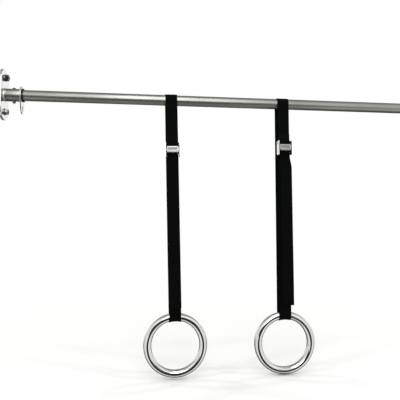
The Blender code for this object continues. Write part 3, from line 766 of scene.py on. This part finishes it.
def makeRingLoop(side, at, place):
    # Down the front, under the ring and up the back. Under the ring it hugs the curve of the tube
    half, axis, steps = web["loopHalf"], at["ringAxis"], web["underSteps"]
    inner = ringSize["radius"] - ringSize["tube"]
    under = ringSize["tube"] + gap + web["thickness"] / 2
    frontRun, backRun = at["frontRun"], at["backRun"]
    path = refine([cutRun(frontRun, at["lowerTop"]), frontRun[1], (0, -half, axis)], web["loopStep"])
    bendStart = len(path)
    for i in range(1, steps):
        a = pi * i / steps
        path.append((0, -half * cos(a), axis - under * sin(a)))
    bendEnd = len(path)
    path += refine([(0, half, axis), backRun[1], cutRun(backRun, at["lowerTop"])], web["loopStep"])

    def drop(across, i):
        if not bendStart <= i < bendEnd:
            return 0.0
        hug = sin(pi * (i - bendStart + 1) / steps)
        return hug * (inner - sqrt(inner ** 2 - across ** 2))

    piece = webbing(side + "WebbingRingLoop", path, place, drop)
    finishWebbing(piece, side, place, ("_lower_strap", "_ring_loop"), (at["lowerTop"], at["loopTop"]),
                  "_strap_back_lower", "_strap_front_lower", "_strap_ring_loop")


# Stitching that closes the tab: a box with a cross, thread proud on both faces

stitch = {
    "length": 0.0026, "space": 0.0009, "radius": 0.00032, "sink": 0.55, "endWidth": 0.45,
    "steps": 6, "sides": 6, "halfWide": 0.0150, "low": 0.0180, "high": 0.0298,
}


def stitchShape(start, end, out):
    # One thread bar that dips into the cloth at both ends
    along = end - start
    side = along.cross(out).normalized()
    rows = []
    for i in range(stitch["steps"] + 1):
        part = i / stitch["steps"]
        swell = sin(pi * part)
        centre = start + along * part + out * stitch["radius"] * (swell - stitch["sink"])
        r = stitch["radius"] * (stitch["endWidth"] + (1 - stitch["endWidth"]) * swell)
        turns = [tau * j / stitch["sides"] for j in range(stitch["sides"])]
        rows.append([centre + side * r * cos(a) + out * r * sin(a) for a in turns])
    return loft(rows)


def makeStitches(side, at, place):
    w, low, high = stitch["halfWide"], at["pinZ"] + stitch["low"], at["pinZ"] + stitch["high"]
    corners = [(-w, low), (w, low), (w, high), (-w, high)]
    lines = list(zip(corners, corners[1:] + corners[:1]))
    lines += [(corners[0], corners[2]), (corners[1], corners[3])]
    faceFront = at["front"] - 1.5 * web["thickness"] - gap
    faceBack = at["front"] + web["thickness"] / 2
    pitch = stitch["length"] + stitch["space"]
    shapes = []
    for y, out in ((faceFront, Vector((0, -1, 0))), (faceBack, Vector((0, 1, 0)))):
        for (x1, z1), (x2, z2) in lines:
            start, end = Vector((x1, y, z1)), Vector((x2, y, z2))
            count = round((end - start).length / pitch)
            pace = (end - start) / count
            lead = pace * stitch["space"] / pitch / 2
            for i in range(count):
                shapes.append(stitchShape(start + pace * i + lead, start + pace * (i + 1) - lead, out))
    piece = makePiece(side + "TabStitches", merged(shapes), "thread", place, sharp=80)
    finishPiece(piece, body=side + "_strap")


# Cam buckle: bent channel with lips, riveted pins, and a toothed cam lever with a thumb plate

buckle = {
    "inner": 0.0196, "sheet": 0.0022, "lip": 0.0022, "depth": 0.0225, "back": 0.0035, "bend": 0.0016,
    "bendSteps": 6, "lipLeast": 0.0003, "corner": 0.0040, "cornerRows": 9, "round": 0.00035,
    "baseTuck": 0.0002, "baseEdge": 0.0004, "baseSteps": 8,
    "anchorRadius": 0.003, "camPinRadius": 0.0025,
    "headOversize": 0.0015, "head": 0.0012, "headEdge": 0.0002, "headSteps": 6, "headSides": 48,
}
lever = {
    "half": 0.0182, "corner": 0.0022, "cornerSteps": 6, "top": 0.012, "thickness": 0.0024,
    # the eccentric cam and its teeth
    "radius": 0.0080, "throw": 0.0026, "throwTurn": radians(50), "drop": 0.0255,
    "tooth": 0.0007, "teeth": 9, "toothStep": radians(10), "frontSteps": 18, "backSteps": 10, "tipSteps": 8,
    # the rounded chin under the face
    "chin": 0.0058, "chinRound": 0.0012, "chinSteps": 6,
    # the sunk field in the face
    "recessDrop": 0.0046, "recessHeight": 0.0066, "recessDepth": 0.0012, "recessHalf": 0.0142,
    "recessEase": 0.0006, "recessLip": 0.0004, "recessLipShare": 0.4, "recessSlope": 0.0015,
}


def cheekOutline(at, lipReach, backInset):
    # One cheek from above: straight sheet, then a bend, then the lip turned outwards
    inner, sheet, bend, steps = buckle["inner"], buckle["sheet"], buckle["bend"], buckle["bendSteps"]
    front = at["front"] - buckle["depth"]
    back = at["front"] + buckle["back"] - backInset
    outer = inner + sheet
    centre = (outer + bend, front + sheet + bend)
    outline = [(inner, back), (outer, back)]
    outline += arc(centre, bend, pi, 1.5 * pi, steps)
    outline += [(outer + lipReach, front + sheet), (outer + lipReach, front)]
    outline += arc(centre, sheet + bend, 1.5 * pi, pi, steps)
    return outline


def makeFrame(side, at, place):
    high, low, corner, count = at["frameTop"], at["frameBottom"], buckle["corner"], buckle["cornerRows"]
    insets = [corner * (1 - cos(quarter * i / count)) for i in range(count + 1)]
    cuts = [(low + z, corner - corner * sqrt(1 - (1 - z / corner) ** 2)) for z in insets]
    cuts += [(high + low - z, inset) for z, inset in reversed(cuts)]
    shapes = []
    for mirror in (1, -1):
        rows = []
        for z, inset in cuts:
            lip = max(buckle["lip"] - inset, buckle["bend"] + buckle["lipLeast"])
            rows.append([(mirror * x, y, z) for x, y in cheekOutline(at, lip, inset)])
        shapes.append(loft(rows))
    # The base plate stands between the cheeks, its top edge rounded for the webbing
    half, reach, edge = buckle["sheet"] / 2, buckle["inner"] + buckle["baseTuck"], buckle["baseEdge"]
    front, back = at["base"] - half, at["base"] + half
    outline = arc((at["base"], at["baseTop"] - half), half, 0, pi, buckle["baseSteps"])
    outline += [(front, low + edge), (front + edge, low), (back - edge, low), (back, low + edge)]
    shapes.append(loft([[(x, y, z) for y, z in outline] for x in (-reach, reach)]))
    piece = makePiece(side + "BuckleFrame", merged(shapes), "nickelPlatedSteel", place)
    roundEdges(piece, buckle["round"], 2)
    finishPiece(piece, side + "_buckle_frame", side + "_strap")


def pivot(at):
    # The cam pin's place and the cam's own middle, as (y, z)
    turn, throw = lever["throwTurn"], lever["throw"]
    y = at["tail"] - (web["thickness"] / 2 + gap + throw * cos(turn) + lever["radius"])
    camZ = at["frameTop"] - lever["drop"]
    return (y, camZ + throw * sin(turn)), (y + throw * cos(turn), camZ)


def makePins(side, at, place):
    seat = buckle["inner"] + buckle["sheet"] + gap
    edge, steps = buckle["headEdge"], buckle["headSteps"]
    for name, node, radius, (y, z) in (
        ("AnchorPin", "_anchor_pin", buckle["anchorRadius"], (at["pinY"], at["pinZ"])),
        ("CamPin", "_cam_pin", buckle["camPinRadius"], pivot(at)[0]),
    ):
        head = radius + buckle["headOversize"]
        half = [(radius, seat), (head - edge, seat)]
        for i in range(steps + 1):
            c, s = polar((0, 0), 1, quarter * i / steps)
            half.append((head * c, seat + edge + (buckle["head"] - edge) * s))
        shape = turned([(r, -x) for r, x in reversed(half)] + half, buckle["headSides"])
        spot = place @ Matrix.Translation((0, y, z)) @ alongX
        piece = makePiece(side + name, shape, "nickelPlatedSteel", spot)
        finishPiece(piece, side + node, side + "_strap")


def leverOutline(at, cornerDrop, recess):
    # The cam and its thumb plate from the side, as (y, z)
    centre = pivot(at)[1]
    radius, thick, step = lever["radius"], lever["thickness"], lever["toothStep"]
    front = centre[0] - radius
    top = at["frameTop"] - lever["top"]
    # The face runs down past the cam's middle to a small rounded chin, then back under to the cam
    chin, chinRound = lever["chin"], lever["chinRound"]
    meetChin = pi + asin(chin / radius)
    meetPlate = tau + acos((thick - radius) / radius)
    teethStart = tau - step * lever["teeth"] / 2
    chinCentre = (front + chinRound, centre[1] - chin + chinRound)
    outline = arc(chinCentre, chinRound, pi, 1.5 * pi, lever["chinSteps"])
    outline += arc(centre, radius, meetChin, teethStart, lever["frontSteps"])
    for i in range(lever["teeth"]):
        outline.append(polar(centre, radius - lever["tooth"], teethStart + step * (i + 0.5)))
        outline.append(polar(centre, radius, teethStart + step * (i + 1)))
    outline += arc(centre, radius, teethStart + step * lever["teeth"], meetPlate, lever["backSteps"])[1:]
    edge = thick / 2
    outline += arc((front + edge, top - cornerDrop - edge), edge, 0, pi, lever["tipSteps"])
    # The recess deepens downwards and ends in a slope that faces up and catches the light
    recessTop = top - lever["recessDrop"]
    recessBottom = recessTop - lever["recessHeight"]
    depth = lever["recessDepth"] * recess
    outline += [
        (front, recessTop), (front + depth * lever["recessLipShare"], recessTop - lever["recessLip"]),
        (front + depth, recessBottom + lever["recessSlope"]), (front, recessBottom),
    ]
    return outline


def makeLever(side, at, place):
    half, corner, recessHalf, ease = lever["half"], lever["corner"], lever["recessHalf"], lever["recessEase"]
    steps = lever["cornerSteps"]
    stations = [0.0]
    for edgeAt, reach in ((recessHalf, ease), (half, corner)):
        stations += [edgeAt - reach * (1 - sin(quarter * i / steps)) for i in range(steps + 1)]
    rows = []
    for x in sorted(set([-x for x in stations] + stations)):
        over = max(0.0, abs(x) - (half - corner))
        cornerDrop = corner - sqrt(max(0.0, corner ** 2 - over ** 2))
        recess = smooth((recessHalf - abs(x)) / ease)
        rows.append([(x, y, z) for y, z in leverOutline(at, cornerDrop, recess)])
    piece = makePiece(side + "CamLever", loft(rows), "brushedCastSteel", place, sharp=38)
    finishPiece(piece, side + "_cam_lever", side + "_cam")


# Ring: bent tube, mirror-polished, its butt seam at the top under the webbing

def makeRing(side, at, place):
    radius, around = ringSize["radius"], ringSize["around"]
    centre = at["ringAxis"] - radius
    seam = ringSize["seamWidth"] / 2 / radius
    angles = [seam] + [tau * i / around for i in range(1, around)] + [tau - seam]
    rows = []
    for turn, dip in [(0.0, ringSize["seamDepth"])] + [(angle, 0.0) for angle in angles]:
        tube = arc((radius, 0), ringSize["tube"] - dip, 0, tau, ringSize["section"])[:-1]
        rows.append([(r * sin(turn), y, centre + r * cos(turn)) for r, y in tube])
    piece = makePiece(side + "Ring", loft(rows, joined=True), "mirrorPolishedSteel", place)
    finishPiece(piece, side + "_ring", side + "_ring")


for side in ("left", "right"):
    at, place = levels(side), setFrame(side)
    for make in (
        makeHanger, makeFrontRun, makeTail, makeRingLoop, makeStitches,
        makeFrame, makePins, makeLever, makeRing,
    ):
        make(side, at, place)
    # The coil in the cam's pocket and the plug inside the ring's seam are the model's own
    for node, look in (("_cam_spring", "temperedSpringWire"), ("_ring_spigot", "oiledMachinedSteel")):
        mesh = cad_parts[side + node].data
        mesh.materials.clear()
        mesh.materials.append(material[look])
    print(side, "strap, buckle and ring made")


# Studio: pale floor just under the rings, a tall soft panel in front, white all round and dark by the camera

floor = {
    "height": -0.8850, "half": 7.0, "tone": "#e9e9e7", "middle": (0.585, 0.0),
    "glow": (0.2, 2.4, 0.0, 0.13),  # over the distance from the middle
    "near": (0.014, 0.006), "nearLevel": 0.07,
    "farFrom": 0.84, "farHalf": 0.605, "farDeep": 0.70, "farLevel": 0.36,
}
panel = {"low": (0.51, -2.30, -0.20), "high": (0.51, -1.10, 1.90), "wide": 1.0, "power": 20.0}
suns = {"turns": (28, 152, 208, 332), "height": 45, "spread": 5, "power": 0.32}
board = {"left": -0.90, "right": 1.95, "y": -2.32, "level": 0.038}
sky = {
    "ambient": 0.80, "patchWide": 0.47, "patchHigh": 0.43, "patchLift": 0.42, "slant": (0.0, 0.8, -0.6),
    "backAbove": 0.26,
    # over the dark patch, the way north, the height, the slant and the way east or west
    "ramps": {
        "patch": (1.06, 0.94), "south": (0.0, -0.1), "north": (-0.10, 0.25), "up": (0.40, 0.54),
        "overhead": (0.62, 0.90, 1.0, 0.42), "down": (-0.02, -0.10), "slant": (0.10, 0.70, 1.0, 0.14),
        "sides": (0.45, 0.85, 1.0, 0.78),
    },
}


def makeStage(name, corners, look):
    mesh = bpy.data.meshes.new(name)
    mesh.from_pydata(corners, [], [(0, 1, 2, 3)])
    mesh.materials.append(look)
    plane = addObject(name, mesh)
    return plane


def makeFloor():
    half, z, middle = floor["half"], floor["height"], floor["middle"]
    look, tree, shader = newMaterial("paintedFloor", {"Roughness": 0.9, "Specular IOR Level": 0.0})
    shader.inputs["Base Color"].default_value = linear(floor["tone"])
    rays = addNode(tree, "LightPath").outputs
    place = addNode(tree, "TexCoord").outputs["Object"]
    # A little glow of its own makes up for the lamps' falling off, so that the floor meets a white horizon
    away = addNode(tree, "VectorMath", {"operation": "DISTANCE", 1: (*middle, z)}, {0: place})
    lift = addNode(tree, "MapRange", dict(zip(rampKeys, floor["glow"])), {"Value": away.outputs["Value"]})
    glow = addNode(tree, "Emission", {}, {"Strength": lift})
    bright = addNode(tree, "AddShader", {}, {0: shader, 1: glow})
    # Steel close to the floor sees the pale surroundings through it. Steel high above sees a dim glow on the
    # floor under the bar instead: a painted reflection of a darker room
    parts = addNode(tree, "SeparateXYZ", {}, {0: place}).outputs
    long = addNode(tree, "Math", {"operation": "GREATER_THAN", 1: floor["farFrom"]}, {0: rays["Ray Length"]})
    across = addNode(tree, "Math", {"operation": "COMPARE", 1: middle[0], 2: floor["farHalf"]}, {0: parts[0]})
    deep = addNode(tree, "Math", {"operation": "COMPARE", 1: middle[1], 2: floor["farDeep"]}, {0: parts[1]})
    under = addNode(tree, "Math", {"operation": "MULTIPLY"}, {0: across, 1: deep})
    far = addNode(tree, "Math", {"operation": "MULTIPLY"}, {0: under, 1: long})
    through = addNode(tree, "BsdfTransparent")
    # A weak glow that only long glossy rays see: painted dark reflection
    dark = addNode(tree, "Emission", {"Strength": floor["farLevel"]})
    seen = addNode(tree, "MixShader", {}, {0: far, 1: through, 2: dark})
    # Right where a ring nears the floor it sees a dim glow there: a painted shadow, standing in for its own
    # shadow on the floor
    near = addNode(tree, "MapRange", dict(zip(rampKeys, floor["near"])), {"Value": rays["Ray Length"]})
    dim = addNode(tree, "Emission", {"Strength": floor["nearLevel"]})
    touched = addNode(tree, "MixShader", {}, {0: near, 1: seen, 2: dim})
    glossy = addNode(tree, "MixShader", {}, {0: rays["Is Glossy Ray"], 1: shader, 2: touched})
    whole = addNode(tree, "MixShader", {}, {0: rays["Is Camera Ray"], 1: glossy, 2: bright})
    join(tree, tree.nodes["Material Output"], {"Surface": whole})
    makeStage("floor", [(-half, -half, z), (half, -half, z), (half, half, z), (-half, half, z)], look)


def makePanel():
    low, high = Vector(panel["low"]), Vector(panel["high"])
    data = bpy.data.lights.new("softPanel", "AREA")
    data.shape = "RECTANGLE"
    data.size = panel["wide"]
    data.size_y = (high - low).length
    data.energy = panel["power"]
    lamp = addObject("softPanel", data)
    up = (high - low).normalized()
    across = Vector((1, 0, 0))
    turn = Matrix((across, up, across.cross(up))).transposed().to_4x4()
    lamp.matrix_world = Matrix.Translation((low + high) / 2) @ turn
    lamp.visible_camera = False


def makeSuns():
    # Four weak lamps on both sides, which the steel doesn't mirror, lay faint crossing shadows on the floor
    for turn in suns["turns"]:
        data = bpy.data.lights.new("sideLamp", "SUN")
        data.energy = suns["power"]
        data.angle = radians(suns["spread"])
        lamp = addObject("sideLamp", data)
        lamp.rotation_euler = (0, radians(90 - suns["height"]), radians(turn))
        lamp.visible_glossy = False


def makeBoard():
    # A faintly glowing dark sheet under the panel that only the steel sees: a painted reflection of the dark
    # room behind the viewer
    left, right, y, z, top = board["left"], board["right"], board["y"], floor["height"], panel["low"][2]
    look, tree, _ = newMaterial("darkRoomReflection", {})
    glow = addNode(tree, "Emission", {"Strength": board["level"]})
    join(tree, tree.nodes["Material Output"], {"Surface": glow})
    plane = makeStage("darkBoard", [(left, y, z), (right, y, z), (right, y, top), (left, y, top)], look)
    for ray in ("camera", "diffuse", "transmission", "shadow"):
        setattr(plane, "visible_" + ray, False)


def makeWorld():
    world = bpy.data.worlds.new("studio")
    bpy.context.scene.world = world
    world.use_nodes = True
    tree = world.node_tree
    tree.nodes.clear()
    ramps = {name: dict(zip(rampKeys, ends)) for name, ends in sky["ramps"].items()}
    rays = addNode(tree, "LightPath").outputs
    towards = addNode(tree, "TexCoord").outputs["Generated"]
    east, north, high = addNode(tree, "SeparateXYZ", {}, {0: towards}).outputs
    # One round dark patch where the room lies behind the viewer
    squeeze = {
        "operation": "MULTIPLY_ADD",
        1: (1 / sky["patchWide"], 0.0, 1 / sky["patchHigh"]),
        2: (0.0, 0.0, sky["patchLift"] / sky["patchHigh"]),
    }
    patch = addNode(tree, "VectorMath", squeeze, {0: towards})
    reach = addNode(tree, "VectorMath", {"operation": "LENGTH"}, {0: patch}).outputs["Value"]
    within = addNode(tree, "MapRange", ramps["patch"], {"Value": reach})
    south = addNode(tree, "MapRange", ramps["south"], {"Value": north})
    dark = addNode(tree, "Math", {"operation": "MULTIPLY"}, {0: within, 1: south})
    # White to the sides and in front, greyer overhead and towards the back, above and below the far horizon
    up = addNode(tree, "MapRange", ramps["up"], {"Value": high})
    overhead = addNode(tree, "MapRange", ramps["overhead"], {"Value": high})
    behind = addNode(tree, "MapRange", ramps["north"], {"Value": north})
    front = addNode(tree, "Mix", {"data_type": "FLOAT", 3: 1.0}, {0: behind, 2: overhead})
    above = addNode(tree, "Mix", {"data_type": "FLOAT", 2: 1.0, 3: sky["backAbove"]}, {0: behind})
    slant = addNode(tree, "VectorMath", {"operation": "DOT_PRODUCT", 1: sky["slant"]}, {0: towards})
    low = addNode(tree, "MapRange", ramps["slant"], {"Value": slant.outputs["Value"]})
    down = addNode(tree, "MapRange", ramps["down"], {"Value": high})
    ground = addNode(tree, "Mix", {"data_type": "FLOAT", 2: 1.0}, {0: down, 3: low})
    level = addNode(tree, "Mix", {"data_type": "FLOAT"}, {0: up, 2: ground, 3: above})
    outward = addNode(tree, "Math", {"operation": "ABSOLUTE"}, {0: east})
    sides = addNode(tree, "MapRange", ramps["sides"], {"Value": outward})
    rounded = addNode(tree, "Math", {"operation": "MULTIPLY"}, {0: level, 1: sides})
    shaded = addNode(tree, "Math", {"operation": "MULTIPLY"}, {0: rounded, 1: front})
    final = addNode(tree, "Mix", {"data_type": "FLOAT", 3: board["level"]}, {0: dark, 2: shaded})
    pure = (1, 1, 1, 1)
    seen = addNode(tree, "Background", {"Color": pure}, {"Strength": final})
    white = addNode(tree, "Background", {"Color": pure, "Strength": 1.0})
    soft = addNode(tree, "Background", {"Color": pure, "Strength": sky["ambient"]})
    glossy = addNode(tree, "MixShader", {}, {0: rays["Is Glossy Ray"], 1: soft, 2: seen})
    whole = addNode(tree, "MixShader", {}, {0: rays["Is Camera Ray"], 1: glossy, 2: white})
    addNode(tree, "OutputWorld", {}, {0: whole})


makeFloor()
makePanel()
makeSuns()
makeBoard()
makeWorld()
bpy.context.scene.view_settings.view_transform = "Standard"
print("studio made")
